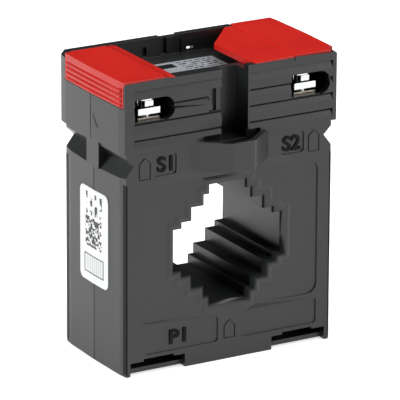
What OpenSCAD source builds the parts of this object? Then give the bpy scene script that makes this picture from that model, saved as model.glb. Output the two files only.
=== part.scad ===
// Moulded-case ring current transformer for a 30 x 10 mm busbar.
// X runs across the case, Y from front (-) to back (+), Z up from the foot.

/* [Case] */
// Depth of the body from front face to back face
body_d = 31; // [29:0.5:36]
// Draft of each side from the seam out to the front or back face
draft = 0.35; // [0.1:0.05:0.6]
// Length of the shallow facet at each upright corner
facet_l = 2.8; // [1.5:0.1:4]
// Depth of that facet
facet_w = 0.25; // [0.1:0.05:0.5]
// Wall thickness of the case
wall = 2; // [1.6:0.1:2.4]
// Solid foot below the ring chamber
foot_h = 5.2; // [4.8:0.1:6]
// Clearance round the ring in its chamber
ring_gap = 0.3; // [0.2:0.05:0.6]
// Floor between the ring chamber and the underside of the terminal head
head_floor = 1.8; // [1.5:0.1:3]
// Height of the terminal head, up to the top of the covers
head_h = 18.4; // [17.6:0.1:20]
// How far the head stands out past the body, front and back
head_over = 0.9; // [0.5:0.1:1.4]
// How far the head stands out past the body at each side
head_side = 0.9; // [0.5:0.1:1.4]

/* [Aperture] */
// Longer side of the largest busbar slot
slot_long = 31; // [29:0.2:31.4]
// Shorter side of the largest busbar slot
slot_short = 10.4; // [9:0.2:11]
// Longer side of the middle slot
mid_long = 26.2; // [24:0.2:27]
// Shorter side of the middle slot
mid_short = 13.6; // [12:0.2:14.4]
// Side of the square slot
square_slot = 20.6; // [19:0.2:21]
// Radius of the rounded rim
rim_r = 1.5; // [0.8:0.1:1.8]
// Wall of the aperture tube
tube_wall = 1.6; // [1:0.1:1.8]

/* [V-grooves] */
// Height of the groove's upper slope, below the head
groove_top = 3.75; // [3:0.05:4.4]
// Depth of the groove below the body's side
groove_d = 2.75; // [2:0.05:3.2]
// Drop of the lower slope
groove_drop = 3.55; // [3:0.05:4.2]
// Width of the strap that crosses each groove
strap_w = 6.2; // [4:0.2:9]
// Stand-out of the strap past the body's side
strap_out = 0.35; // [0.2:0.05:0.6]

/* [Nose] */
// Half-width of the nose where it meets the body
nose_base = 11.1; // [9:0.1:12]
// Half-width of its flat front
nose_tip = 3.6; // [3.2:0.1:5]
// How far the nose stands out past the body
nose_out = 6.9; // [6:0.1:8]
// Height of the nose below the head
nose_h = 7.2; // [6.4:0.1:8.4]
// Wall of the nose
nose_wall = 1.3; // [1:0.1:1.6]
// Bore for the busbar clamp screw in the nose's floor
clamp_bore = 4.2; // [3.2:0.1:4.3]

/* [Head] */
// Pitch of the shingled ribs
rib_pitch = 4.17; // [3.8:0.01:4.3]
// Height of the lowest rib step above the underside of the head
rib_rise = 3.25; // [2.8:0.05:3.8]
// Depth of each rib step
rib_d = 0.7; // [0.4:0.05:1]
// Number of rib steps
rib_n = 4; // [3:1:4]
// Width of the clamp-screw channel
channel_w = 7.5; // [6.5:0.1:8]
// Offset of the channel from the case's centre line
channel_x = 0.85; // [0:0.05:1.2]
// Depth of the channel
channel_d = 6.2; // [5:0.1:6.4]
// Depth of the top recess
recess_d = 5; // [4.6:0.1:5.6]
// Width of each terminal pocket
pocket_w = 12.7; // [12.4:0.1:13]
// Depth of each terminal pocket below the top of the covers
pocket_d = 11.8; // [11.4:0.1:12.2]
// Wall between a pocket and the top recess
pocket_wall = 1.4; // [1:0.1:1.6]

/* [Terminals] */
// Distance of each terminal screw from the head's side
term_side = 8.6; // [8.4:0.1:8.9]
// Distance of each terminal screw behind the inside of the front wall
term_in = 2.9; // [2.9:0.1:3.4]
// Width of the contact strip and of the saddle
strip_w = 6.2; // [5.4:0.1:6.4]
// Thickness of the contact strip
strip_t = 1.4; // [1:0.1:1.6]
// Thickness of the saddle
saddle_t = 1.8; // [1.4:0.1:2]
// Gap for the wire between strip and saddle
wire_gap = 2.4; // [2:0.1:2.6]
// Diameter of the screw's shank
shank_d = 3.4; // [3:0.1:3.6]
// Diameter of the screw's head
screwhead_d = 5.4; // [5:0.1:5.6]
// Height of the screw's head
screwhead_h = 2.2; // [1.8:0.1:2.4]
// Width of the square nut
nut_w = 5.6; // [5.2:0.1:5.8]
// Height of the nut
nut_h = 2.6; // [2:0.1:2.8]
// Running clearance round the shank
run_gap = 0.05; // [0.03:0.01:0.1]
// Height of each wire window
window_h = 6; // [5:0.1:6.2]
// Width of each wire window
window_w = 11.3; // [10.5:0.1:11.6]

/* [Covers] */
// Thickness of the covers
cover_t = 1.4; // [1.2:0.1:1.6]
// Width of each flap, from the head's side to its fold line
flap_w = 11.9; // [11.6:0.1:12.4]
// Width of the fixed strip of the left cover
left_strip_w = 3.2; // [2.9:0.1:4]
// Width of the fixed strip of the right cover
right_strip_w = 12.4; // [11:0.1:13]
// Height of the side plates
side_h = 6.8; // [6:0.1:7.4]
// Number of grip ribs on each side plate
grip_n = 4; // [3:1:5]
// Stand-out of the grip ribs
grip_out = 0.35; // [0.2:0.05:0.5]
// Clearance round the covers
fit_gap = 0.15; // [0.1:0.05:0.25]
// Width of the open groove along each fold line, beside the flap's rounded edge
fold_gap = 0.3; // [0.25:0.05:0.5]

/* [Core and winding] */
// Radial build of the finished ring, from its bore to its outside
ring_build = 6.8; // [6.4:0.1:7.6]
// Room between the ring and the sides of the case
ring_side = 2.5; // [2.2:0.1:3.2]
// Room between the ring's bore and the ends of the largest slot's tube
ring_in = 1.6; // [1.6:0.05:2.2]
// Thickness of the outer wrap
wrap_t = 0.3; // [0.2:0.05:0.4]
// Thickness of the winding
winding_t = 1.2; // [0.8:0.1:1.4]
// Diameter of the lead wires
lead_d = 1.2; // [0.8:0.1:1.4]

/* [Hidden] */
$fn = 48;

black = "#26282a";
red = "#c8201c";
silver = "#c9ccd0";
steel = "#dfe1e3";
copper = "#b56a3c";

over = 1;
// The busbar slot sets the ring, and the ring sets the case
ring_id = slot_long + 2 * (tube_wall + ring_in);
ring_od = ring_id + 2 * ring_build;
ring_l = body_d - 2 * (wall + ring_gap);
body_w = ring_od + 2 * (ring_side + wall);

half_w = body_w / 2;
half_d = body_d / 2;
head_w = half_w + head_side;
head_y = half_d + head_over;
inner_y = head_y - wall;
seam = 0.25;

aper_z = foot_h + ring_gap + ring_od / 2;
chamber_z0 = foot_h;
chamber_z1 = aper_z + ring_od / 2 + ring_gap;
head_z = chamber_z1 + head_floor;
top_z = head_z + head_h;

groove_x = half_w - groove_d;
groove_z = head_z - groove_top;
nose_z = head_z - nose_h;
rib_z = head_z + rib_rise;
floor_z = top_z - recess_d;
pocket_z = top_z - pocket_d;
pocket_in = head_w - wall - pocket_w;
term_x = head_w - term_side;
term_y = inner_y - term_in;
saddle_z = pocket_z + strip_t + wire_gap;
window_sill = 0.8;
window_shift = 0.5;
window_z = pocket_z + window_sill;
window_r = window_h / 2;

cover_z = top_z - cover_t;
fold_z = top_z - cover_t / 2;
fold_x = head_w - flap_w;
side_z = top_z - side_h;
left_in = fold_x - left_strip_w;
right_in = fold_x - right_strip_w;

// Half of a plan that is widest at the seam, with a faceted corner at the face
module half_plan(w, d) {
    polygon([[-w + seam, 0], [-w, -seam], [-w + draft * (d - facet_l) / d, -d + facet_l],
        [-w + draft + facet_w, -d], [w - draft - facet_w, -d],
        [w - draft * (d - facet_l) / d, -d + facet_l], [w, -seam], [w - seam, 0]]);
}

// Both halves of the plan, with the groove at the seam bridged
module full_plan(w, d) {
    half_plan(w, d);
    rotate(180) half_plan(w, d);
    square([2 * w, 2 * seam], center = true);
}

// Rounded rectangle between two corners
module rounded(x0, y0, x1, y1, r) {
    translate([x0 + r, y0]) square([x1 - x0 - 2 * r, y1 - y0]);
    translate([x0, y0 + r]) square([x1 - x0, y1 - y0 - 2 * r]);
    for (x = [x0 + r, x1 - r], y = [y0 + r, y1 - r])
        translate([x, y]) circle(r);
}

// Turns a drawing in X and Z into a slab that runs from y0 to y1
module slab(y0, y1) {
    translate([0, y1, 0]) rotate([90, 0, 0]) linear_extrude(height = y1 - y0) children();
}

// The three crossed busbar slots, as [width, height]
slots = [[slot_long, slot_short], [slot_short, slot_long], [mid_long, mid_short], [mid_short, mid_long],
    [square_slot, square_slot]];

// Outline of the aperture, grown by a wall
module aperture_plan(grow) {
    for (s = slots)
        square([s[0] + 2 * grow, s[1] + 2 * grow], center = true);
}

// Section of one slot through the case: straight inside and rounded out at the face
module flare(w) {
    translate([-w / 2, -half_d - over]) square([w, half_d + 2 * over]);
    difference() {
        translate([-w / 2 - rim_r, -half_d - over]) square([w + 2 * rim_r, over + rim_r]);
        for (s = [-1, 1])
            translate([s * (w / 2 + rim_r), -half_d + rim_r]) circle(rim_r);
    }
}

// One slot with all four of its edges rounded at the front face
module flared_slot(w, h) {
    span = slot_long + 4 * rim_r;
    intersection() {
        translate([0, 0, -span / 2]) linear_extrude(height = span) flare(w);
        rotate([0, 90, 0]) translate([0, 0, -span / 2]) linear_extrude(height = span)
            flare(h);
    }
}

module aperture_cut() {
    translate([0, 0, aper_z])
        for (s = slots)
            flared_slot(s[0], s[1]);
}

// V-groove along each flank, broken by the strap at mid-depth
module groove_cut() {
    rise = groove_top + 2;
    run = groove_d * (groove_drop + groove_foot) / groove_drop;
    for (s = [-1, 1])
        slab(-head_y - over, -strap_w / 2)
            polygon([[s * groove_x, groove_z], [s * (groove_x + rise), groove_z + rise],
                [s * (groove_x + run), groove_z + rise],
                [s * (groove_x + run), groove_z - groove_drop - groove_foot]]);
}

// Chamber for the ring, with a narrower top that clears the V-grooves
chamber_x = half_w - wall - draft;
neck_x = groove_x - wall - 3;
groove_foot = 3;
module chamber_cut() {
    shoulder_z = groove_z - groove_drop - groove_foot;
    difference() {
        slab(-half_d + wall, over) {
            translate([-chamber_x, chamber_z0]) square([2 * chamber_x, shoulder_z - chamber_z0]);
            translate([-neck_x, chamber_z0]) square([2 * neck_x, chamber_z1 - chamber_z0]);
        }
        slab(-half_d, 2 * over) translate([0, aper_z]) aperture_plan(tube_wall);
    }
}

// Duct from the ring chamber up into the head, with a side branch to each lead hole
duct_z = pocket_z - nut_h - 2;
duct_gap = 0.6;
module duct_cut(depth) {
    duct_x = pocket_in - pocket_wall - 1.5;
    branch_y = lead_d / 2 + 1;
    translate([-duct_x, -depth, chamber_z1 - over])
        cube([2 * duct_x, depth + over, floor_z - wall - chamber_z1 + over]);
    translate([-term_x - lead_d, -branch_y, duct_z - 2 * lead_d])
        cube([2 * (term_x + lead_d), branch_y + over, 2 * lead_d]);
    for (s = [-1, 1])
        translate([s * term_x, 0, duct_z - lead_d])
            cylinder(d = lead_d + duct_gap, h = pocket_z - duct_z + 2 * lead_d);
}

// Terminal pockets, open at the top and at the side under the flaps
module pocket_cut() {
    for (s = [-1, 1])
        translate([s > 0 ? pocket_in : -head_w + wall, -inner_y, pocket_z])
            cube([head_w - wall - pocket_in, inner_y + over, top_z]);
}

// Open recess between the covers, its floor carrying the label
module recess_cut(front) {
    translate([-pocket_in + pocket_wall, -front, floor_z])
        cube([2 * (pocket_in - pocket_wall), front + over, top_z]);
}

// Room for the strips, which are a little thicker than the flaps and lie on the pocket walls
strip_extra = 0.5;
module strip_seat_cut() {
    translate([-fold_x, -inner_y, cover_z - strip_extra])
        cube([2 * fold_x, inner_y + over, cover_t + over]);
}

// Shingled ribs: each step is cut back just below its lower edge
module rib_cut(x0, x1, count) {
    for (k = [0 : count - 1])
        translate([x0, 0, rib_z + k * rib_pitch]) rotate([90, 0, 90]) linear_extrude(height = x1 - x0)
            polygon([[-head_y + rib_d, 0], [-head_y - over, 0], [-head_y - over, -rib_pitch / 2],
                [-head_y, -rib_pitch / 2]]);
}

module window_cut(x) {
    slab(-head_y - over, -inner_y + over) {
        translate([x - window_w / 2, window_z]) square([window_w - window_r, window_h]);
        translate([x + window_w / 2 - window_r, window_z + window_r]) circle(window_r);
    }
}

// Square nut seats below the contact strips, and the screws' way down
nut_gap = 0.1;
screw_tip = 1;
module nut_cut() {
    seat_w = nut_w + 2 * nut_gap;
    way = wire_gap + screw_tip + 0.2;
    for (s = [-1, 1])
        translate([s * term_x, -term_y, pocket_z - nut_h]) {
            translate([-seat_w / 2, -seat_w / 2, 0]) cube([seat_w, seat_w, nut_h + over]);
            translate([0, 0, -way]) cylinder(d = shank_d + 4 * nut_gap, h = way + over);
        }
}

// Slots in the foot: a shallow step over a thin set-back strip, and a deeper gap above it
module foot_cut() {
    slot_w = 15.6;
    slot_x = half_w - 1.8 - slot_w;
    step = [1.6, 3.5];
    strip_h = 1.5;
    gap = [6, 2];
    window = [3.2, 8.6, 2.6];
    sole = 0.3;
    for (s = [-1, 1])
        mirror([s < 0 ? 1 : 0, 0, 0]) translate([slot_x, -half_d - over, 0]) {
            translate([0, 0, -over]) cube([slot_w, over + step[0], over + step[1]]);
            translate([0, 0, -over]) cube([slot_w, over + gap[0] + 1, over + sole]);
            translate([0, 0, strip_h]) cube([slot_w, over + gap[0], gap[1]]);
            translate([window[0], 0, strip_h]) cube([window[1], over + gap[0], window[2]]);
        }
}

// Shallow moulded panels and pointed guide marks of a face
panel_d = 0.35;
panel_x = half_w - 4.3;
panel_z = [aper_z - 17.9, aper_z + 17.8];
tag_z = [head_z - 7.3, head_z - 1.6];
tag_left = [-half_w + 8.2, -half_w + 14.8];
tag_right = [half_w - 15.4, half_w - 8.5];
plate_z = [5, 11.9];
plate_left = [-half_w + 5.8, -3.1];
plate_right = [3.3, half_w - 4.4];
module face_marks() {
    slab(-half_d - over, -half_d + panel_d) {
        difference() {
            rounded(-panel_x, panel_z[0], panel_x, panel_z[1], 3);
            translate([0, aper_z]) aperture_plan(rim_r + 0.9);
        }
        for (x = [plate_left, plate_right])
            rounded(x[0], plate_z[0], x[1], plate_z[1], 1);
        for (x = [tag_left, tag_right])
            rounded(x[0], tag_z[0], x[1], tag_z[1], 1);
    }
    slab(-half_d - over, -half_d + panel_d - 0.05) {
        for (x = [-half_w + 5.8, half_w - 5.7])
            translate([x, tag_z[0] - 0.4]) guide_mark(6);
        translate([0.2, plate_z[0] + 0.4]) guide_mark(5.2);
    }
}

// Outline of a bar with a pointed top
module guide_mark(h) {
    line = 0.35;
    difference() {
        pointed(1.7, h);
        translate([0, line]) pointed(1.7 - line, h - 0.75);
    }
}

// Upright bar with a pointed top
module pointed(w, h) {
    polygon([[-w, 0], [w, 0], [w, h - w], [0, h], [-w, h - w]]);
}

// Hollow nose in front, through which the clamp screw reaches the busbar
module nose_plan(inset) {
    tip = nose_tip - inset * 0.6;
    base = nose_base - inset * 1.5;
    r = max(0.4, 1.6 - inset);
    out = half_d + nose_out - inset;
    hull() {
        translate([-base, -half_d]) square([2 * base, 0.01]);
        for (s = [-1, 1])
            translate([s * (tip - r * 0.5), -out + r]) circle(r, $fn = 24);
    }
}

// The nose stands a little above the underside of the head
nose_lip = 0.4;
module nose() {
    translate([0, 0, nose_z]) linear_extrude(height = nose_h + nose_lip) nose_plan(0);
}

module nose_cut() {
    translate([0, 0, nose_z + nose_wall]) linear_extrude(height = nose_h) nose_plan(nose_wall);
    translate([0, -(head_y + half_d + nose_out - nose_wall) / 2, nose_z - over])
        cylinder(d = clamp_bore, h = over + nose_wall + 0.01);
}

module channel_cut() {
    translate([channel_x - channel_w / 2, -head_y - over, head_z - over])
        cube([channel_w, channel_d + over, top_z]);
}

// Seats of the flaps: the side plates lie flush in the flanks, up to a corner post at one end
lip = 0.5;
post_w = 0.6;
post_y = inner_y - post_w;
module side_seat_cut() {
    deep = wall + 0.1;
    translate([-head_w - over, -head_y + lip, side_z - fit_gap]) cube([over + deep, head_y, top_z]);
    translate([head_w - deep, -post_y, side_z - fit_gap]) cube([over + deep, post_y + over, top_z]);
}

// Seats of the top plates: reach of the cut to the left and right, along the case's depth
module top_seat_cut(left, right) {
    inner = fold_x - cover_t / 2 - fold_gap;
    translate([-head_w - over, -left, cover_z]) cube([head_w + over - inner, left + over, top_z]);
    translate([inner, -right, cover_z]) cube([head_w - wall - inner, right + over, top_z]);
    for (s = [-1, 1])
        slab(-head_y - over, over)
            polygon([[s * (head_w - wall + 0.4), top_z + 0.01], [s * (head_w + 0.4), top_z - wall],
                [s * (head_w + over), top_z + 0.01]]);
}

// Latch gap and its catch, beside the channel at the end of the left rib block
latch_w = 3.7;
latch_x = channel_x - channel_w / 2 - latch_w;
latch_d = 1;
module latch_cut() {
    deep = [1.2, 1.4, 1.9];
    translate([latch_x, -head_y - over, window_z]) cube([latch_w, over + latch_d, window_h]);
    translate([latch_x + deep[0], -head_y - over, window_z]) cube([deep[1], over + deep[2], window_h]);
}

module latch_catch() {
    translate([latch_x, -head_y + latch_d + 0.01, window_z + 0.4]) rotate([90, 0, 0])
        linear_extrude(height = 0.8 * latch_d)
            polygon([[0, 0], [1.2, 0], [1.2, 1.2], [0.4, 3.2], [0, 3.2]]);
}

// Outer form of one half of the case: body, head and its half of the straps
strap_extra = 0.5;
module half_shell(front_top) {
    linear_extrude(height = head_z) half_plan(half_w, half_d);
    translate([0, 0, head_z]) linear_extrude(height = front_top - head_z) half_plan(head_w, head_y);
    translate([-half_w - strap_out, -strap_w / 2, groove_z - groove_drop])
        cube([2 * (half_w + strap_out), strap_w / 2, groove_top + groove_drop + strap_extra]);
}

recess_front = head_y - channel_d - pocket_wall;
module front_case() {
    rib_end = [2.4, 0.5, 0.8];
    color(black) {
        difference() {
            union() {
                half_shell(top_z - lip);
                nose();
            }
            chamber_cut();
            duct_cut(recess_front);
            aperture_cut();
            groove_cut();
            pocket_cut();
            recess_cut(recess_front);
            strip_seat_cut();
            rib_cut(-half_w + rib_end[0], channel_x - channel_w / 2, rib_n);
            rib_cut(channel_x + channel_w / 2 + rib_end[1], half_w - rib_end[2], rib_n);
            for (s = [-1, 1])
                window_cut(s * term_x + window_shift);
            nut_cut();
            foot_cut();
            face_marks();
            nose_cut();
            channel_cut();
            side_seat_cut();
            top_seat_cut(head_y + over, head_y + over);
            latch_cut();
        }
        latch_catch();
    }
}

// Snap slots inside the top recess, a through slot and a finger notch, as [x, width, depth, z, height]
snaps = [[7, 1.4, 0.8, 0.5, 2.4], [1.2, 1.5, 0.8, 0.5, 2 * recess_d], [-3.1, 2.9, 0.4, 0, 3.8],
    [-6.6, 2, wall + over, 0.2, 1.2], [-2, 5, wall + over, recess_d - 0.35, over]];
module snap_cut() {
    for (s = snaps)
        translate([s[0], -inner_y - s[2], floor_z + s[3]]) cube([s[1], s[2] + over, s[4]]);
}

module rear_case() {
    color(black) rotate([0, 0, 180]) difference() {
        half_shell(top_z);
        chamber_cut();
        duct_cut(inner_y);
        aperture_cut();
        groove_cut();
        pocket_cut();
        recess_cut(inner_y);
        strip_seat_cut();
        foot_cut();
        face_marks();
        side_seat_cut();
        top_seat_cut(head_y + over, inner_y);
        snap_cut();
    }
}

// Flap of a cover as it lies on the left: top plate, side plate with grip ribs, rounded fold edge
module flap(flush_y, post_reach) {
    hinge_r = cover_t / 2;
    color(red) intersection() {
        union() {
            difference() {
                translate([-head_w - over, -flush_y, cover_z])
                    cube([over + flap_w, flush_y + post_reach, cover_t]);
                translate([-head_w - over, post_y - fit_gap, cover_z - over])
                    cube([over + wall + fit_gap, head_y, cover_t + 2 * over]);
            }
            translate([-head_w - over, -head_y + lip + fit_gap, side_z])
                cube([over + cover_t, head_y - lip + post_y - 2 * fit_gap, top_z - side_z]);
            translate([-fold_x, post_reach, fold_z]) rotate([90, 0, 0])
                cylinder(r = hinge_r, h = flush_y + post_reach);
        }
        translate([0, 0, side_z - over]) linear_extrude(height = side_h + 2 * over)
            full_plan(head_w, head_y);
    }
    color(red) grip_ribs();
}

// Horizontal grip ribs, each a wedge that is thickest at its lower edge
module grip_ribs() {
    edge = 0.4;
    root = 0.7;
    inset = 1;
    pitch = (side_h - cover_t - 1.5 * edge) / grip_n;
    run = head_y - lip + post_y - 2 * fit_gap - 2 * inset;
    for (k = [0 : grip_n - 1])
        translate([-head_w, post_y - fit_gap - inset, side_z + edge + k * pitch]) rotate([90, 0, 0])
            linear_extrude(height = run)
                polygon([[root, 0], [draft - grip_out, 0], [draft, pitch * 0.75], [root, pitch * 0.75]]);
}

module left_cover() {
    flap(head_y, inner_y - fit_gap);
}

module right_cover() {
    rotate([0, 0, 180]) flap(head_y, head_y - 2 * fit_gap);
}

// Fixed strip of a cover, hollowed along the fold so that the flap's rounded edge can turn
strip_fall = 0.4;
strip_chamfer = 9;
module strip(inner, chamfer) {
    edge = fold_x - cover_t / 2 - fold_gap;
    z0 = cover_z - strip_extra;
    reach = inner_y - fit_gap;
    color(red) difference() {
        intersection() {
            translate([0, 0, z0]) linear_extrude(height = cover_t + strip_extra)
                polygon([[inner, -reach], [fold_x, -reach], [fold_x, reach], [inner + chamfer, reach],
                    [inner, reach - chamfer * 1.15]]);
            slab(-reach, reach)
                polygon([[inner, z0], [fold_x, z0], [fold_x, top_z], [edge, top_z],
                    [inner, top_z - strip_fall]]);
        }
        translate([edge, -reach - over, fold_z]) cube([2, 2 * (reach + over), cover_t]);
        translate([fold_x, reach + over, fold_z]) rotate([90, 0, 0])
            cylinder(r = cover_t / 2 + run_gap, h = 2 * (reach + over));
    }
}

module left_cover_strip() {
    mirror([1, 0, 0]) strip(left_in, 0);
}

module right_cover_strip() {
    strip(right_in, strip_chamfer);
}

// Silver label on the floor of the top recess, with one corner cut off
label_t = 0.15;
label_w = 22.6;
label_l = 16.4;
label_margin = 0.4;
module rating_label() {
    x0 = -pocket_in + pocket_wall + label_margin;
    y0 = -recess_front + label_margin;
    color(silver) translate([x0, y0, floor_z]) linear_extrude(height = label_t)
        polygon([[0, 0], [label_w - 1, 0], [label_w, 1], [label_w, label_l], [0, label_l]]);
}

// Sticker on the left flank, which follows the draft of both halves
sticker_w = 14.4;
sticker_h = 24.7;
sticker_z = aper_z - 10.7;
module side_sticker() {
    color("white") intersection() {
        translate([-half_w - label_t, 0, 0]) rotate([90, 0, 90]) linear_extrude(height = draft + over)
            rounded(-sticker_w / 2, sticker_z, sticker_w / 2, sticker_z + sticker_h, 1.8);
        difference() {
            linear_extrude(height = head_z) full_plan(half_w + label_t, half_d);
            translate([0, 0, -over]) linear_extrude(height = head_z + 2 * over) full_plan(half_w, half_d);
        }
    }
}

// Contact strip that the wire is clamped to, with a tab back to the lead
module contact() {
    tab_w = 3;
    pad_l = 6;
    front = -term_in + 2 * fit_gap;
    color(steel) difference() {
        union() {
            translate([-strip_w / 2, front, pocket_z]) cube([strip_w, pad_l, strip_t]);
            translate([-tab_w / 2, 0, pocket_z]) cube([tab_w, term_y + lead_d, strip_t]);
        }
        translate([0, 0, pocket_z - over]) cylinder(d = shank_d + 2 * run_gap, h = strip_t + 2 * over);
    }
}

// Clamp plate that the screw presses onto the wire
module saddle() {
    saddle_l = 5.4;
    color(steel) difference() {
        translate([-strip_w / 2, -saddle_l / 2, saddle_z]) cube([strip_w, saddle_l, saddle_t]);
        translate([0, 0, saddle_z - over]) cylinder(d = shank_d + 2 * run_gap, h = saddle_t + 2 * over);
    }
}

// Slotted cheese-head screw, its slot across the case
module terminal_screw() {
    slot_d = 1;
    slot_t = 0.8;
    foot = pocket_z - nut_h - screw_tip;
    seat = saddle_z + saddle_t + run_gap;
    color(steel) difference() {
        union() {
            translate([0, 0, foot]) cylinder(d = shank_d, h = seat - foot + screwhead_h / 2);
            translate([0, 0, seat]) cylinder(d = screwhead_d, h = screwhead_h);
        }
        translate([-screwhead_d, -slot_t / 2, seat + screwhead_h - slot_d])
            cube([2 * screwhead_d, slot_t, slot_d + over]);
    }
}

module nut() {
    color(steel) difference() {
        translate([-nut_w / 2, -nut_w / 2, pocket_z - nut_h]) cube([nut_w, nut_w, nut_h]);
        translate([0, 0, pocket_z - nut_h - over])
            cylinder(d = shank_d + 2 * run_gap, h = nut_h + 2 * over);
    }
}

// Places a terminal part at the left (-1) or right (1) terminal
module at_terminal(side) {
    translate([side * term_x, -term_y, 0]) children();
}

// Ring of rectangular section about the aperture's axis, with a hollow for what it encloses
module ring(outer, inner, length, shell) {
    build = (outer - inner) / 2;
    translate([0, length / 2, aper_z]) rotate([90, 0, 0]) rotate_extrude($fn = 96) difference() {
        translate([inner / 2, 0]) square([build, length]);
        if (shell > 0)
            translate([inner / 2 + shell, shell]) square([build - 2 * shell, length - 2 * shell]);
    }
}

function inset_ring(t) = [ring_od - 2 * t, ring_id + 2 * t, ring_l - 2 * t];

module ring_layer(t, shell) {
    r = inset_ring(t);
    ring(r[0], r[1], r[2], shell);
}

module winding_wrap() {
    color("#e8dfc8") ring_layer(0, wrap_t);
}

module secondary_winding() {
    color(copper) ring_layer(wrap_t, winding_t);
}

module core_wrap() {
    color("#d9c36a") ring_layer(wrap_t + winding_t, wrap_t);
}

module core() {
    color("#8d9297") ring_layer(2 * wrap_t + winding_t, 0);
}

// Lead from the top of the ring, across in the side duct and up to the contact's tab
lead_x = 8;
module lead(side) {
    x0 = side * lead_x;
    x1 = side * term_x;
    z0 = aper_z + sqrt(pow(ring_od / 2, 2) - pow(lead_x, 2)) + 0.25;
    z1 = duct_z - lead_d;
    color("#b8322a") {
        translate([x0, 0, z0]) cylinder(d = lead_d, h = z1 - z0);
        translate([x0, 0, z1]) sphere(d = lead_d);
        translate([min(x0, x1), 0, z1]) rotate([0, 90, 0]) cylinder(d = lead_d, h = abs(x1 - x0));
        translate([x1, 0, z1]) sphere(d = lead_d);
        translate([x1, 0, z1]) cylinder(d = lead_d, h = pocket_z - z1);
    }
}

front_case();
rear_case();
left_cover();
right_cover();
left_cover_strip();
right_cover_strip();
rating_label();
side_sticker();
at_terminal(-1) contact();  // s1_contact
at_terminal(1) contact();  // s2_contact
at_terminal(-1) saddle();  // s1_saddle
at_terminal(1) saddle();  // s2_saddle
at_terminal(-1) terminal_screw();  // s1_screw
at_terminal(1) terminal_screw();  // s2_screw
at_terminal(-1) nut();  // s1_nut
at_terminal(1) nut();  // s2_nut
core();
core_wrap();
secondary_winding();
winding_wrap();
lead(-1);  // s1_lead
lead(1);  // s2_lead
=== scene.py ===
# %% [markdown]
# # A moulded-case current transformer
# A ring core with a winding sits in a two-part plastic case. A busbar passes through the stepped
# aperture, and two wires are clamped behind the windows of the head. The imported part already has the
# true shapes, so this lesson adds what the shapes lack: finishes, print, moulded signs, small trim,
# light and a camera.

import math

import bmesh
import bpy
from mathutils import Matrix, Vector


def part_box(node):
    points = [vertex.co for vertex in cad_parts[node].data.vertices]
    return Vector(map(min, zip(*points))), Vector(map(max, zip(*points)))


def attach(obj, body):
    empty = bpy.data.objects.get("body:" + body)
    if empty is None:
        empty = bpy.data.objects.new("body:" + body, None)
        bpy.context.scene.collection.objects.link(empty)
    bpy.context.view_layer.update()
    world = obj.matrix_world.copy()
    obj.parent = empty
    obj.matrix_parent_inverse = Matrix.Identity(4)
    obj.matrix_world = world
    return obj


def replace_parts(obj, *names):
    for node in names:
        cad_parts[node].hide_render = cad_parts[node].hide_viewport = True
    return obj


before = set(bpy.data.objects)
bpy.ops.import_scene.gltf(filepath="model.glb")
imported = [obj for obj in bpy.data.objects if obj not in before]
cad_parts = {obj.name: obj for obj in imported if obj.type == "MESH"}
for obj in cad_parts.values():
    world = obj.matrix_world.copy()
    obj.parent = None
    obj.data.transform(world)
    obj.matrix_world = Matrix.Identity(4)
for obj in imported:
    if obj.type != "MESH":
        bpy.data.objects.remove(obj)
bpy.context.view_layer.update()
mm = 0.001  # Blender counts in metres, and this part is described in millimetres

# %% [markdown]
# ## Two small helpers for finishes
# Colours are written as sRGB hex, which is how colour charts give them, and one function turns them
# to the linear values that shaders use. One more function adds a node with its settings and links,
# so that each finish below reads as a short recipe.

# %% Colour and node helpers


def hex_colour(code):
    """An sRGB hex colour as linear red, green, blue and alpha."""
    shares = [int(code[i : i + 2], 16) / 255 for i in (1, 3, 5)]
    linear = [c / 12.92 if c <= 0.04045 else ((c + 0.055) / 1.055) ** 2.4 for c in shares]
    return (*linear, 1)


def add_node(tree, kind, settings=None, links=None):
    """Adds one node. Settings are its sockets or its properties, and links are its sockets."""
    node = tree.nodes.new(kind)
    for key, value in (settings or {}).items():
        if isinstance(key, int) or key in node.inputs:
            node.inputs[key].default_value = value
        else:
            setattr(node, key, value)
    for key, source in (links or {}).items():
        tree.links.new(source, node.inputs[key])
    return node


def start_finish(name, settings):
    """A material with a Principled shader, and the Object coordinates that its patterns read."""
    material = bpy.data.materials.new(name)
    material.use_nodes = True
    tree = material.node_tree
    tree.nodes.clear()
    shader = add_node(tree, "ShaderNodeBsdfPrincipled", settings)
    add_node(tree, "ShaderNodeOutputMaterial", links={"Surface": shader.outputs["BSDF"]})
    place = add_node(tree, "ShaderNodeTexCoord").outputs["Object"]
    return material, tree, shader, place


print("mid grey in linear values:", [round(c, 3) for c in hex_colour("#808080")])

# %% [markdown]
# ## Grain, tone and soft edges
# A moulded part is never quite even. Its tool leaves a fine grain, its gloss drifts a little, and
# every edge has a small radius that catches the light. The grain is a noise bump, the drift is a
# second, broader noise on colour and roughness, and the radius is a Bevel node, which rounds the
# shading of an edge and leaves the exact mesh as it is.

# %% A function for moulded surfaces


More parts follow.
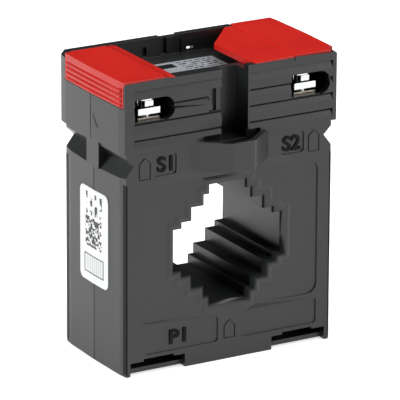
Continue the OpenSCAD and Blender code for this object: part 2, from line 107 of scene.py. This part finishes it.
def mould_surface(tree, shader, place, dark, light, patch, grain, depth, edge, gloss):
    """Drifting colour and gloss, a fine grain, and edges rounded to a radius. Returns the colour."""
    drift = add_node(tree, "ShaderNodeTexNoise", {"Scale": 1 / patch, "Detail": 3.0}, {"Vector": place})
    tone = add_node(tree, "ShaderNodeMix", {"data_type": "RGBA", 6: dark, 7: light},
                    {0: drift.outputs["Fac"]})
    tree.links.new(tone.outputs[2], shader.inputs["Base Color"])
    sheen = add_node(tree, "ShaderNodeMapRange", {"To Min": gloss[0], "To Max": gloss[1]},
                     {"Value": drift.outputs["Fac"]})
    tree.links.new(sheen.outputs["Result"], shader.inputs["Roughness"])
    fine = add_node(tree, "ShaderNodeTexNoise", {"Scale": 1 / grain, "Detail": 2.0}, {"Vector": place})
    rounded = add_node(tree, "ShaderNodeBevel", {"samples": 8, "Radius": edge})
    bump = add_node(tree, "ShaderNodeBump", {"Strength": 0.6, "Distance": depth},
                    {"Height": fine.outputs["Fac"], "Normal": rounded.outputs["Normal"]})
    tree.links.new(bump.outputs["Normal"], shader.inputs["Normal"])
    return tone.outputs[2]


# %% [markdown]
# ## Case plastic
# The case is black glass-filled polycarbonate, moulded in a spark-eroded tool. To the eye that is a
# nearly black satin, which looks charcoal where an upright wall mirrors a pale table. The real grain
# is about 0.1 mm across, which is too fine to show, so it is drawn at 0.35 mm. A few faint upright
# streaks are what handling leaves on such a case.

# %% Make the case plastic
case_plastic, tree, shader, place = start_finish("black_polycarbonate_satin", {"IOR": 1.58})
tone = mould_surface(tree, shader, place, hex_colour("#101213"), hex_colour("#1b1d1e"),
                     patch=18 * mm, grain=0.35 * mm, depth=0.02 * mm, edge=0.12 * mm,
                     gloss=(0.28, 0.42))
streak_width = 2.2 * mm
streak_squeeze = 0.12  # height is squeezed by this before the noise, so streaks come out tall
stretch = add_node(tree, "ShaderNodeMapping", {"Scale": (1, 1, streak_squeeze)}, {"Vector": place})
streaks = add_node(tree, "ShaderNodeTexNoise", {"Scale": 1 / streak_width, "Detail": 4.0},
                   {"Vector": stretch.outputs["Vector"]})
faint = add_node(tree, "ShaderNodeMapRange", {"From Min": 0.5, "From Max": 0.75, "To Max": 0.35},
                 {"Value": streaks.outputs["Fac"]})
handled = add_node(tree, "ShaderNodeMix", {"data_type": "RGBA", 7: hex_colour("#1b1c1d")},
                   {0: faint.outputs["Result"], 6: tone})
tree.links.new(handled.outputs[2], shader.inputs["Base Color"])
print("case plastic nodes:", len(tree.nodes))

# %% [markdown]
# ## Painted-shade plastic
# The moulded signs, the corner facets and the undercuts of the ribs read darker than the grained wall
# round them because of how the light falls there. That shade is painted with a darker copy of the
# case plastic, which has little mirroring of its own and a very shallow bump.

# %% Make the painted-shade plastic
painted_shade_plastic, tree, shader, place = start_finish("black_polycarbonate_painted_shade", {"IOR": 1.58})
# Darker than the case plastic, and with a low specular level below: this colour is painted shade.
mould_surface(tree, shader, place, hex_colour("#070808"), hex_colour("#0d0e0e"), patch=6 * mm,
              grain=0.5 * mm, depth=0.004 * mm, edge=0.08 * mm, gloss=(0.3, 0.42))
shader.inputs["Specular IOR Level"].default_value = 0.1
print("polished plastic nodes:", len(tree.nodes))

# %% [markdown]
# ## Cover plastic
# The two terminal covers are red polyamide, moulded in a smoother tool than the case. Polyamide keeps
# a soft gloss, and its red drifts slightly across a wide face. The specular level is a little below
# the usual one, so the red stays deep where it mirrors the pale table.

# %% Make the cover plastic
cover_plastic, tree, shader, place = start_finish("red_polyamide_satin", {"IOR": 1.53})
mould_surface(tree, shader, place, hex_colour("#b5140b"), hex_colour("#cb1d12"), patch=9 * mm,
              grain=0.4 * mm, depth=0.008 * mm, edge=0.35 * mm, gloss=(0.3, 0.4))
shader.inputs["Specular IOR Level"].default_value = 0.4
print("cover plastic nodes:", len(tree.nodes))

# %% [markdown]
# ## Print
# Labels are printed with rows of small words, solid blocks and patterned squares. None of it has to
# say anything here: a Brick texture gives rows of word-like bars, a noise breaks them into strokes,
# and random cells give a code-like square. Each is kept to its own box on the label by comparing two
# coordinates with the box's middle, and the boxes are laid over each other to make the ink.

# %% Functions for print


def inside(tree, axes, box, pattern=None):
    """A pattern, or plain 1, inside a box given as {axis: (low, high)}, and 0 outside it."""
    mask = pattern
    for axis, (low, high) in box.items():
        near = add_node(tree, "ShaderNodeMath",
                        {"operation": "COMPARE", 1: (low + high) / 2, 2: (high - low) / 2},
                        {0: axes.outputs[axis]}).outputs[0]
        mask = near if mask is None else add_node(
            tree, "ShaderNodeMath", {"operation": "MULTIPLY"}, {0: mask, 1: near}).outputs[0]
    return mask


def overlay(tree, masks):
    """Masks laid over each other, so that the strongest one counts at each spot."""
    result = masks[0]
    for mask in masks[1:]:
        result = add_node(tree, "ShaderNodeMath", {"operation": "MAXIMUM"},
                          {0: result, 1: mask}).outputs[0]
    return result


def word_rows(tree, place, turn, row, word):
    """Rows of word-like bars. Row is their pitch and word their length, in metres."""
    flat = add_node(tree, "ShaderNodeMapping", {"Rotation": turn}, {"Vector": place})
    bars = add_node(tree, "ShaderNodeTexBrick",
                    {"Scale": 1.0, "Brick Width": word, "Row Height": row, "Mortar Size": row * 0.24,
                     "Mortar Smooth": 0.0, "offset": 0.37, "Color1": (1, 1, 1, 1),
                     "Color2": (1, 1, 1, 1), "Mortar": (0, 0, 0, 1)},
                    {"Vector": flat.outputs["Vector"]})
    letters = add_node(tree, "ShaderNodeTexNoise", {"Scale": 2.2 / row, "Detail": 1.0},
                       {"Vector": flat.outputs["Vector"]})
    strokes = add_node(tree, "ShaderNodeMath", {"operation": "GREATER_THAN", 1: 0.46},
                       {0: letters.outputs["Fac"]})
    words = add_node(tree, "ShaderNodeMath", {"operation": "MULTIPLY"},
                     {0: bars.outputs["Color"], 1: strokes.outputs[0]})
    return words.outputs[0]


def print_on(tree, shader, ink_mask, ground, ink):
    """Colours the shader as ink where the mask is 1 and as the bare label elsewhere."""
    colour = add_node(tree, "ShaderNodeMix", {"data_type": "RGBA", 6: ground, 7: ink}, {0: ink_mask})
    tree.links.new(colour.outputs[2], shader.inputs["Base Color"])


def fine_bump(tree, shader, place, size, depth):
    """A shallow noise bump for the texture of a film, foil or plating."""
    noise = add_node(tree, "ShaderNodeTexNoise", {"Scale": 1 / size, "Detail": 3.0}, {"Vector": place})
    bump = add_node(tree, "ShaderNodeBump", {"Strength": 0.5, "Distance": depth},
                    {"Height": noise.outputs["Fac"]})
    tree.links.new(bump.outputs["Normal"], shader.inputs["Normal"])
    return noise


# %% [markdown]
# ## Side sticker
# The sticker on the flank is a white polyester film with thermal print: three short rows at the top,
# a square of small cells, and an outlined box with fine hatching. Its print runs up the case, so the
# rows are read with the head turned.

# %% Make the sticker's finish
sticker_film, tree, shader, place = start_finish("white_polyester_film",
                                                 {"IOR": 1.5, "Roughness": 0.42})
axes = add_node(tree, "ShaderNodeSeparateXYZ", links={"Vector": place})
sticker_low, sticker_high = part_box("side_sticker")
top = sticker_high.z


def printed_box(front, back, start, end, pattern=None):
    """A box of the sticker from its front side to its back side, and its ends down from the top."""
    return inside(tree, axes, {"Y": (front * mm, back * mm), "Z": (top - end * mm, top - start * mm)},
                  pattern)


rows = printed_box(-4.2, 4.0, 1.2, 7,
                   word_rows(tree, place, (0, math.pi / 2, 0), 2.5 * mm, 4.6 * mm))
cell = 0.52 * mm
cells = add_node(tree, "ShaderNodeVectorMath", {"operation": "SNAP", 1: (1, cell, cell)}, {0: place})
chance = add_node(tree, "ShaderNodeTexWhiteNoise", {"noise_dimensions": "3D"},
                  {"Vector": cells.outputs[0]})
dark_cells = add_node(tree, "ShaderNodeMath", {"operation": "GREATER_THAN", 1: 0.42},
                      {0: chance.outputs["Value"]})
code = printed_box(-4.0, 4.3, 7.6, 15.4, dark_cells.outputs[0])
line = add_node(tree, "ShaderNodeMath", {"operation": "SUBTRACT"},
                {0: printed_box(-5, 4.9, 17.5, 22.5), 1: printed_box(-4.7, 4.6, 17.8, 22.2)})
hatch_pitch = 1.0 * mm
hatch = add_node(tree, "ShaderNodeTexWave", {"bands_direction": "Y", "Scale": 0.314 / hatch_pitch},
                 {"Vector": place})
hatching = add_node(tree, "ShaderNodeMath", {"operation": "MULTIPLY", 1: 0.35},
                    {0: printed_box(-4.7, 4.6, 17.8, 22.2, hatch.outputs["Fac"])})
ink = overlay(tree, [rows, code, line.outputs[0], hatching.outputs[0]])
print_on(tree, shader, ink, hex_colour("#e9ebea"), hex_colour("#2a2c2e"))
fine_bump(tree, shader, place, 1.5 * mm, 0.006 * mm)
print("sticker nodes:", len(tree.nodes))

# %% [markdown]
# ## Rating label
# The label in the recess is a silver polyester with black print. Silver film is a thin metal layer
# under clear plastic, so it is part metallic and quite rough. One solid block and rows of small words
# stand for its print, and they keep a narrow margin to the label's edge.

# %% Make the rating label's finish
label_film, tree, shader, place = start_finish("silver_polyester_film",
                                               {"Metallic": 0.55, "Roughness": 0.48})
axes = add_node(tree, "ShaderNodeSeparateXYZ", links={"Vector": place})
label_low, label_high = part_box("rating_label")
margin = 0.9 * mm
words = inside(tree, axes, {"X": (label_low.x + 11.4 * mm, label_high.x - margin),
                            "Y": (label_low.y + margin, label_high.y - margin)},
               word_rows(tree, place, (0, 0, 0), 1.5 * mm, 3.6 * mm))
block = inside(tree, axes, {"X": (label_low.x + 1.8 * mm, label_low.x + 10.2 * mm),
                            "Y": (label_high.y - 4.6 * mm, label_high.y - 1.4 * mm)})
print_on(tree, shader, overlay(tree, [words, block]), hex_colour("#b4b9bf"), hex_colour("#15171a"))
fine_bump(tree, shader, place, 1.2 * mm, 0.005 * mm)
print("label nodes:", len(tree.nodes))

# %% [markdown]
# ## Metals
# The screws, clamps and nuts are zinc-plated steel with a bright finish, and the contact strips are
# tinned brass, which is a little warmer and softer. Plating is smooth, with a slight waviness and
# fine marks, so the roughness follows a noise and the bump is only a few micrometres deep.

# %% Make the plated metals


def plated_metal(name, colour, worn, gloss):
    """A bright plating whose roughness drifts between two values."""
    metal, tree, shader, place = start_finish(name, {"Metallic": 1.0})
    noise = fine_bump(tree, shader, place, 0.8 * mm, 0.004 * mm)
    tone = add_node(tree, "ShaderNodeMix", {"data_type": "RGBA", 6: hex_colour(colour),
                                            7: hex_colour(worn)}, {0: noise.outputs["Fac"]})
    tree.links.new(tone.outputs[2], shader.inputs["Base Color"])
    polish = add_node(tree, "ShaderNodeMapRange", {"To Min": gloss[0], "To Max": gloss[1]},
                      {"Value": noise.outputs["Fac"]})
    tree.links.new(polish.outputs["Result"], shader.inputs["Roughness"])
    return metal


zinc_plating = plated_metal("zinc_plated_steel", "#e6e7e8", "#cfd2d4", (0.12, 0.3))
tin_plating = plated_metal("tinned_brass", "#d9d0c4", "#bfb5a6", (0.2, 0.4))
print("metals:", zinc_plating.name, tin_plating.name)

# %% [markdown]
# ## Core, winding and leads
# These are inside the case and show only if the part is taken apart or cut open. The core is a coil
# of thin silicon steel strip, so its ends show rings. The winding is enamelled copper wire laid round
# the ring, so it shows fine bands. Each has a wrap of film or tape, and the leads wear a sleeve. The
# patterns are centred on the middle of the ring.

# %% Make the finishes of the inner pieces
core_low, core_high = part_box("core")
ring_middle = (core_low.z + core_high.z) / 2


def banded(name, settings, dark, light, pitch, pattern, depth):
    """A finish of fine bands or rings with a given pitch in metres, raised by a given depth."""
    finish, tree, shader, place = start_finish(name, settings)
    centred = add_node(tree, "ShaderNodeMapping", {"Location": (0, 0, -ring_middle)},
                       {"Vector": place})
    bands = add_node(tree, "ShaderNodeTexWave", {**pattern, "Scale": 0.314 / pitch, "Distortion": 0.6},
                     {"Vector": centred.outputs["Vector"]})
    tone = add_node(tree, "ShaderNodeMix", {"data_type": "RGBA", 6: hex_colour(dark),
                                            7: hex_colour(light)}, {0: bands.outputs["Fac"]})
    tree.links.new(tone.outputs[2], shader.inputs["Base Color"])
    bump = add_node(tree, "ShaderNodeBump", {"Strength": 0.5, "Distance": depth},
                    {"Height": bands.outputs["Fac"]})
    tree.links.new(bump.outputs["Normal"], shader.inputs["Normal"])
    return finish


rings = {"wave_type": "RINGS", "rings_direction": "Y"}
slanted = {"wave_type": "BANDS", "bands_direction": "DIAGONAL"}
core_strip = banded("silicon_steel_strip", {"Metallic": 1.0, "Roughness": 0.4}, "#6d7276", "#9ba0a4",
                    0.6 * mm, rings, 0.02 * mm)
copper_wire = banded("enamelled_copper_wire", {"Metallic": 0.9, "Roughness": 0.3}, "#7a3a1c", "#c06a3a",
                     0.5 * mm, slanted, 0.08 * mm)
core_film = banded("yellow_polyester_film", {"Roughness": 0.3, "IOR": 1.64}, "#b99a3a", "#d9bf62",
                   5 * mm, slanted, 0.03 * mm)
winding_tape = banded("woven_polyester_tape", {"Roughness": 0.7, "IOR": 1.5}, "#cfc6ae", "#ebe4d0",
                      4 * mm, slanted, 0.05 * mm)
lead_sleeve = banded("red_silicone_sleeve", {"Roughness": 0.5, "IOR": 1.41}, "#8e1d18", "#b02a22",
                     0.8 * mm, slanted, 0.01 * mm)
print("inner finishes made")

# %% [markdown]
# ## Give every piece its finish
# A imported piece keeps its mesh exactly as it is. Only its material slot changes.

# %% Assign the finishes
finishes = {
    "front_case": case_plastic, "rear_case": case_plastic,
    "left_cover": cover_plastic, "right_cover": cover_plastic,
    "left_cover_strip": cover_plastic, "right_cover_strip": cover_plastic,
    "rating_label": label_film, "side_sticker": sticker_film,
    "s1_contact": tin_plating, "s2_contact": tin_plating,
    "s1_saddle": zinc_plating, "s2_saddle": zinc_plating,
    "s1_screw": zinc_plating, "s2_screw": zinc_plating,
    "s1_nut": zinc_plating, "s2_nut": zinc_plating,
    "core": core_strip, "core_wrap": core_film,
    "secondary_winding": copper_wire, "winding_wrap": winding_tape,
    "s1_lead": lead_sleeve, "s2_lead": lead_sleeve,
}
for name, finish in finishes.items():
    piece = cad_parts[name]
    if not piece.material_slots:
        piece.data.materials.append(finish)
    for slot in piece.material_slots:
        slot.material = finish
print("pieces with a finish:", len(finishes), "of", len(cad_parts))

# %% [markdown]
# ## Moulded signs
# Terminals of every current transformer are marked S1 and S2, and its two faces P1 and P2. On this
# case they are raised letters on the floors of shallow panels. A text curve with a small extrusion
# gives the letters, and a small offset makes them as bold as moulded ones. It is made a mesh, and is
# then scaled and turned into its panel. Every new piece also says which body of the part it moves
# with and which finish it takes, so one helper does that for all of them.

# %% Raise the signs
sign_height = 0.3 * mm
panel_floor = 15.15 * mm


def new_piece(name, mesh, finish, body):
    """An object for a mesh, with its finish, that rides on a body."""
    mesh.materials.append(finish)
    piece = bpy.data.objects.new(name, mesh)
    bpy.context.collection.objects.link(piece)
    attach(piece, body)
    return piece


def moulded_sign(words, left, right, low, high, behind=False):
    """Raised letters that fill a box on the floor of a panel, on the front face or the back face."""
    curve = bpy.data.curves.new(f"sign_{words.lower()}", "FONT")
    curve.body = words
    curve.extrude = 0.5
    curve.offset = 0.03
    outline = bpy.data.objects.new("outline", curve)
    bpy.context.collection.objects.link(outline)
    seen = outline.evaluated_get(bpy.context.evaluated_depsgraph_get())
    letters = bpy.data.meshes.new_from_object(seen)
    bpy.data.objects.remove(outline)
    xs = [v.co.x for v in letters.vertices]
    ys = [v.co.y for v in letters.vertices]
    fit = Matrix.Diagonal(((right - left) / (max(xs) - min(xs)), (high - low) / (max(ys) - min(ys)),
                           sign_height, 1))
    centre = Matrix.Translation((-(max(xs) + min(xs)) / 2, -(max(ys) + min(ys)) / 2, 0))
    stand = Matrix.Rotation(math.pi / 2, 4, "X")
    turn = Matrix.Rotation(math.pi, 4, "Z") if behind else Matrix.Identity(4)
    side = 1 if behind else -1
    place = Matrix.Translation(((left + right) / 2, side * (panel_floor + sign_height / 2),
                                (low + high) / 2))
    letters.transform(place @ turn @ stand @ fit @ centre)
    letters.materials.clear()
    # The letters take the darker finish, whose colour is painted shade round the raised letters.
    return new_piece(f"sign_{words.lower()}", letters, painted_shade_plastic, "housing")


signs = [
    moulded_sign("S1", -20.5 * mm, -16.2 * mm, 52.2 * mm, 56.2 * mm),
    moulded_sign("S2", 15.4 * mm, 20.6 * mm, 52.0 * mm, 56.0 * mm),
    moulded_sign("P1", -17.0 * mm, -12.2 * mm, 6.6 * mm, 10.4 * mm),
    moulded_sign("P2", 12.2 * mm, 17.0 * mm, 6.6 * mm, 10.4 * mm, behind=True),
]
print("signs:", [s.name for s in signs])

# %% [markdown]
# ## A helper for small moulded bars
# Several small features are bars of one section: grip ribs, a hinge web, the lips of the covers. Each
# starts as the polygon of its section, is extruded along the part, and has its edges bevelled. A
# second helper turns a table of points in millimetres to metres.

# %% Functions for bars


def in_mm(*points):
    """Points given in millimetres, in metres."""
    return [Vector(point) * mm for point in points]


def moulded_bar(name, section, start, end, radius, finish, body):
    """A bar whose section, a list of points, is swept from its start to a copy moved by end."""
    bar = bmesh.new()
    face = bar.faces.new([bar.verts.new(point + start) for point in section])
    swept = bmesh.ops.extrude_face_region(bar, geom=[face])
    far = [g for g in swept["geom"] if isinstance(g, bmesh.types.BMVert)]
    bmesh.ops.translate(bar, verts=far, vec=end)
    bmesh.ops.recalc_face_normals(bar, faces=bar.faces)
    bmesh.ops.bevel(bar, geom=list(bar.edges), offset=radius, segments=2, profile=0.5, affect="EDGES",
                    material=-1)
    mesh = bpy.data.meshes.new(name)
    bar.to_mesh(mesh)
    bar.free()
    return new_piece(name, mesh, finish, body)


sides = {-1: "left", 1: "right"}
print("sides of the part:", sides)

# %% [markdown]
# ## Grip ribs on the covers
# Each cover's side plate is opened with a fingernail that catches on its ribs. The ribs run the whole
# length of the plate and follow its draft, so each is made in two straight lengths that meet at the
# middle of the case, where the plate is widest. A cover is longer on one side of the middle than on
# the other, and so are its ribs.

# %% Make the grip ribs
plate_face = 30.88 * mm
rib_foot, rib_pitch = 0.35 * mm, 1.28 * mm
draft = 0.35 / 13.6  # how much the plate leans in over its length
long_reach, short_reach = 15.0 * mm, 13.0 * mm
ribs = []
for side, hand in sides.items():
    low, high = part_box(f"{hand}_cover")
    section = in_mm((0, 0, 0), (side * 0.3, 0, 0.1), (0, 0, 0.9))
    for turn in (-1, 1):
        reach = short_reach if turn * side < 0 else long_reach
        for step in range(4):
            at = Vector((side * plate_face, turn * 0.02 * mm, low.z + rib_foot + step * rib_pitch))
            ribs.append(moulded_bar(f"{hand}_cover_rib_{step + 1}_{'back' if turn > 0 else 'front'}",
                                    section, at, Vector((-side * draft * reach, turn * reach, 0)),
                                    0.05 * mm, cover_plastic, f"{hand}_flap"))
print("ribs:", len(ribs))

# %% [markdown]
# ## Front lips of the covers and the rails under them
# The fixed strip of each cover reaches over the front wall in a thin tongue, level with the flap. The
# wall itself stands up in a low rail before each flap, so only the upper part of the flap's edge
# shows. Both are slim bars, lower at one end than at the other.

# %% Make the tongues and rails
tongue = {"front": -16.38, "depth": 2.2, "foot": 76.5, "radius": 0.06}
rail = {"front": -16.52, "depth": 0.1, "foot": 75.5, "radius": 0.03}
lips = {  # left end, right end, height at the left end and at the right end, in mm
    "left_strip_tongue": (-17.95, -15.95, 77.0, 76.64, tongue, cover_plastic, "cover_plastic"),
    "right_strip_tongue": (6.6, 17.9, 76.64, 77.0, tongue, cover_plastic, "cover_plastic"),
    "left_rail": (-30.5, -18.1, 76.42, 76.72, rail, case_plastic, "case_plastic"),
    "right_rail": (18.1, 29.1, 76.72, 76.42, rail, case_plastic, "case_plastic"),
}
for name, (left, right, left_top, right_top, form, finish, slot) in lips.items():
    section = in_mm((left, 0, form["foot"]), (right, 0, form["foot"]), (right, 0, right_top),
                    (left, 0, left_top))
    moulded_bar(name, section, Vector((0, form["front"] * mm, 0)), Vector((0, form["depth"] * mm, 0)),
                form["radius"] * mm, finish, "housing")
print("lips and rails:", list(lips))

# %% [markdown]
# ## Hinge webs
# A flap hangs on its strip by a thin web of its own plastic. The web lies against the strip and fills
# the foot of the groove along the fold, where the flap's round edge leaves room for it.

# %% Make the hinge webs
web_face = 18.01 * mm
for side, hand in sides.items():
    low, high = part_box(f"{hand}_cover_strip")
    section = in_mm((0, 0, -0.67), (side * 0.2, 0, -0.67), (side * 0.04, 0, -0.06), (0, 0, -0.04))
    moulded_bar(f"{hand}_cover_strip_web", section, Vector((side * web_face, low.y, high.z)),
                Vector((0, high.y - low.y, 0)), 0.03 * mm, cover_plastic, "housing")
print("webs made:", len(sides))

# %% [markdown]
# ## Clamp plates
# Seen through a wire window, the clamp is a bright lip across the front, with a narrow tongue above
# it that runs back to the plate that the screw carries. The lip passes just before the end of the
# contact strip when the clamp is screwed down. The plain plate of the solids gives way to these.

# %% Make the clamp plates
for terminal in ("s1", "s2"):
    name = f"{terminal}_saddle"
    low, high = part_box(name)
    middle, half = (low.x + high.x) / 2, (high.x - low.x) / 2
    neck = 1.2 * mm
    waist, crown, shoulder = 0.6 * half, 0.5 * half, high.z - 0.3 * mm
    lip_foot, tongue_foot = low.z - 1.65 * mm, low.z + 0.42 * mm
    forms = {  # outline across the clamp, how far back it starts, its length and its edge radius
        "lip": ([(-half, lip_foot), (half, lip_foot), (half, low.z), (-half, low.z)],
                -0.16 * mm, 0.22 * mm, 0.05 * mm),
        "tongue": ([(-neck, tongue_foot), (neck, tongue_foot), (neck, high.z), (-neck, high.z)],
                   -0.1 * mm, 3.4 * mm, 0.05 * mm),
        "plate": ([(-waist, low.z), (waist, low.z), (waist, shoulder), (crown, high.z),
                   (-crown, high.z), (-waist, shoulder)],
                  2.6 * mm, high.y - low.y - 2.6 * mm, 0.08 * mm),
    }
    for form, (outline, set_back, length, radius) in forms.items():
        piece = moulded_bar(f"{name}_{form}", [Vector((x, 0, z)) for x, z in outline],
                            Vector((middle, low.y + set_back, 0)), Vector((0, length, 0)), radius,
                            zinc_plating, f"{terminal}_clamp")
        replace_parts(piece, name)
    print(name, "is now", list(forms))

# %% [markdown]
# ## Case walls with a softer border
# The border round the busbar opening is rolled: it falls away to the wall in one soft slope, with no
# step at its outside. The solids have a small step there, which is simpler to measure. A copy of each
# half of the case is merged, the outer line of that border is pressed down to the wall, and the copy
# takes the place of the plain solid. A point belongs to that line if it lies at the border's height
# near the opening and one of its edges drops straight to the wall.

# %% Soften the border
border, wall, step = 15.5 * mm, 15.15 * mm, 0.35 * mm
pressed_to = 15.16 * mm
for name, face in (("front_case", -1), ("rear_case", 1)):
    shell = bmesh.new()
    shell.from_mesh(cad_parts[name].data)
    bmesh.ops.remove_doubles(shell, verts=shell.verts, dist=0.001 * mm)
    pressed = []
    for vert in shell.verts:
        near = abs(vert.co.x) < 18.5 * mm and 12.5 * mm < vert.co.z < 50 * mm
        if near and abs(vert.co.y - face * border) < 0.02 * mm:
            linked = [edge.other_vert(vert).co for edge in vert.link_edges]
            if any(abs(co.y - face * wall) < 0.05 * mm and (co - vert.co).length < step + 0.01 * mm
                   for co in linked):
                pressed.append(vert)
    for vert in pressed:
        vert.co.y = face * pressed_to
    mesh = bpy.data.meshes.new(f"{name}_shell")
    shell.to_mesh(mesh)
    shell.free()
    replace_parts(new_piece(f"{name}_shell", mesh, case_plastic, "housing"), name)
    print(name, "border points pressed down:", len(pressed))

# %% [markdown]
# ## Arrow on each flank
# A slim arrow moulded above the strap points up to the terminals. It is an open chevron, a tenth of a
# millimetre thick and a little buried in the wall, so it shows as a few thin strokes.

# %% Make the arrows
chevron = in_mm((0, 1.4, 62.6), (0, -0.1, 67.2), (0, -3.7, 62.2), (0, -2.9, 62.3), (0, -0.3, 66.2),
                (0, 0.9, 62.6))
# The strokes take the darker finish, so their dark colour is painted shade.
for side, hand in sides.items():
    moulded_bar(f"arrow_{hand}", chevron, Vector((side * 30.78 * mm, 0, 0)),
                Vector((side * 0.1 * mm, 0, 0)), 0.03 * mm, painted_shade_plastic, "housing")
print("arrows made:", len(sides))

# %% [markdown]
# ## Painted shade under the shingled ribs
# Under each shingle of the head the real part has a narrow undercut that no light reaches, and the
# solids have a plain slope there. Its shade is painted as a thin strip of the darker finish on the
# slope, just below the edge that it belongs to. Beside the windows, the strip of the upper ribs stops
# short.

# %% Paint the shade under the ribs
# Section of a dark strip that paints the shade under one shingle.
painted_rib_shade = in_mm((0, -15.77, -0.1), (0, -15.95, -0.6), (0, -15.88, -0.64), (0, -15.7, -0.1))
painted_rib_shades = {  # height of the shingle's edge, and the ends of its left run and its right run, in mm
    "rib_61": (61.85, {"left": (-27.6, -2.9), "right": (5.1, 29.2)}),
    "rib_66": (66.02, {"left": (-27.6, -2.9), "right": (5.1, 29.2)}),
    "rib_70": (70.19, {"left": (-16.2, -6.6), "right": (5.1, 17.1)}),
}
for name, (edge, runs) in painted_rib_shades.items():
    for hand, (left, right) in runs.items():
        moulded_bar(f"undercut_{name}_{hand}", painted_rib_shade, Vector((left * mm, 0, edge * mm)),
                    Vector(((right - left) * mm, 0, 0)), 0.01 * mm, painted_shade_plastic,
                    "housing")
print("undercuts:", list(painted_rib_shades))

# %% [markdown]
# ## Painted shade on the corners
# A narrow facet along each upright corner of the body reads darker than the grained walls because of
# how the light falls on it. That shade is painted: a skin a few hundredths of a millimetre proud
# carries the darker finish, folded round the corner from the flank to the face.

# %% Paint the shade on the corners
# Section of the skin that paints the shade along each corner facet.
fold = ((29.60, 14.1), (29.45, 15.54), (29.05, 15.54), (29.05, 15.4), (29.3, 15.4), (29.4, 14.1))
for side, hand in sides.items():
    for face, facing in ((-1, "front"), (1, "back")):
        moulded_bar(f"painted_corner_shade_{hand}_{facing}", in_mm(*((side * x, face * y, 0.6) for x, y in fold)),
                    Vector((0, 0, 0)), Vector((0, 0, 49.6 * mm)), 0.015 * mm, painted_shade_plastic,
                    "housing")
print("corner bands made:", 2 * len(sides))

# %% [markdown]
# ## Floor
# The part stands on a wide pale table. The table takes light and shadow like paint, and a little
# light of its own is added only for rays that come from the camera, a mirror or glass, so that it
# reads as white paper there and lights nothing.

# %% Lay the floor
table_reach = 4  # metres from the part to the table's edge
table_mesh = bmesh.new()
bmesh.ops.create_grid(table_mesh, x_segments=8, y_segments=8, size=table_reach)
bmesh.ops.translate(table_mesh, verts=table_mesh.verts, vec=(0, 0, -0.02 * mm))
table_data = bpy.data.meshes.new("table")
table_mesh.to_mesh(table_data)
table_mesh.free()
table = bpy.data.objects.new("table", table_data)
bpy.context.collection.objects.link(table)

paper = bpy.data.materials.new("white_table_paint")
paper.use_nodes = True
tree = paper.node_tree
tree.nodes.clear()
rays = add_node(tree, "ShaderNodeLightPath")
camera_or_gloss = overlay(tree, [rays.outputs[f"Is {kind} Ray"]
                                 for kind in ("Camera", "Glossy", "Transmission")])
own_light = add_node(tree, "ShaderNodeMath", {"operation": "MULTIPLY", 1: 0.6}, {0: camera_or_gloss})
paint = add_node(tree, "ShaderNodeBsdfDiffuse", {"Color": hex_colour("#d4d4d4")})
glow = add_node(tree, "ShaderNodeEmission", {"Color": (1, 1, 1, 1)}, {"Strength": own_light.outputs[0]})
both = add_node(tree, "ShaderNodeAddShader", links={0: paint.outputs[0], 1: glow.outputs[0]})
add_node(tree, "ShaderNodeOutputMaterial", links={"Surface": both.outputs[0]})
table_data.materials.append(paper)
print("table size, m:", [round(d, 2) for d in table.dimensions])

# %% [markdown]
# ## Light
# Four large soft boxes light the part from the left, from above, from the right and from behind, as
# in a plain product studio. The room round them is dim, so faces that look up stay dark where they
# mirror it, while the upright walls mirror the pale table.

# %% Set the lamps and the room
room = bpy.data.worlds.new("studio_room")
room.use_nodes = True
walls = room.node_tree.nodes["Background"]
walls.inputs["Color"].default_value = hex_colour("#f4f5f6")
walls.inputs["Strength"].default_value = 0.04
bpy.context.scene.world = room
aim = Vector((0, 0, 0.04))


def soft_box(name, place, size, power):
    """A square area lamp that faces the part and stays out of the camera's sight."""
    lamp = bpy.data.lights.new(name, "AREA")
    lamp.shape = "SQUARE"
    lamp.size = size
    lamp.energy = power
    box = bpy.data.objects.new(name, lamp)
    box.location = place
    box.rotation_mode = "QUATERNION"
    box.rotation_quaternion = (aim - Vector(place)).to_track_quat("-Z", "Y")
    box.visible_camera = False
    bpy.context.collection.objects.link(box)
    return box


lamps = [  # place and side in metres, and power in watts
    soft_box("left_soft_box", (-1.6, 0.5, 1.1), 1.2, 40),
    soft_box("top_soft_box", (0.5, -0.7, 1.9), 1.4, 30),
    soft_box("right_soft_box", (1.4, -1.5, 0.9), 1.0, 12),
    soft_box("back_soft_box", (0.6, 1.0, 2.2), 1.0, 8),
]
print("lamps:", [(lamp.name, lamp.data.energy) for lamp in lamps])

# %% [markdown]
# ## Camera
# A long lens from about a metre away keeps the part's edges nearly parallel, as in a catalogue. The
# view is from the front left and a little above.

# %% Place the camera
azimuth, elevation, roll = math.radians(-30.033), math.radians(18.411), math.radians(0.3)
distance = 1110.76 * mm
target = Vector((5.968, 9.510, 33.706)) * mm
back = Vector((math.sin(azimuth) * math.cos(elevation), -math.cos(azimuth) * math.cos(elevation),
               math.sin(elevation)))
level = Vector((math.cos(azimuth), math.sin(azimuth), 0))
upright = back.cross(level)
right = math.cos(roll) * level + math.sin(roll) * upright
up = -math.sin(roll) * level + math.cos(roll) * upright
lens = bpy.data.cameras.new("long_lens")
lens.sensor_width = 36
lens.lens = 392.17
lens.clip_start, lens.clip_end = 0.05, 20
camera = bpy.data.objects.new("camera", lens)
turned = Matrix((right, up, back)).transposed().to_4x4()
camera.matrix_world = Matrix.Translation(target + back * distance) @ turned
bpy.context.collection.objects.link(camera)
bpy.context.scene.camera = camera
bpy.context.scene.view_settings.view_transform = "Standard"
print("camera at", [round(v, 3) for v in camera.location])
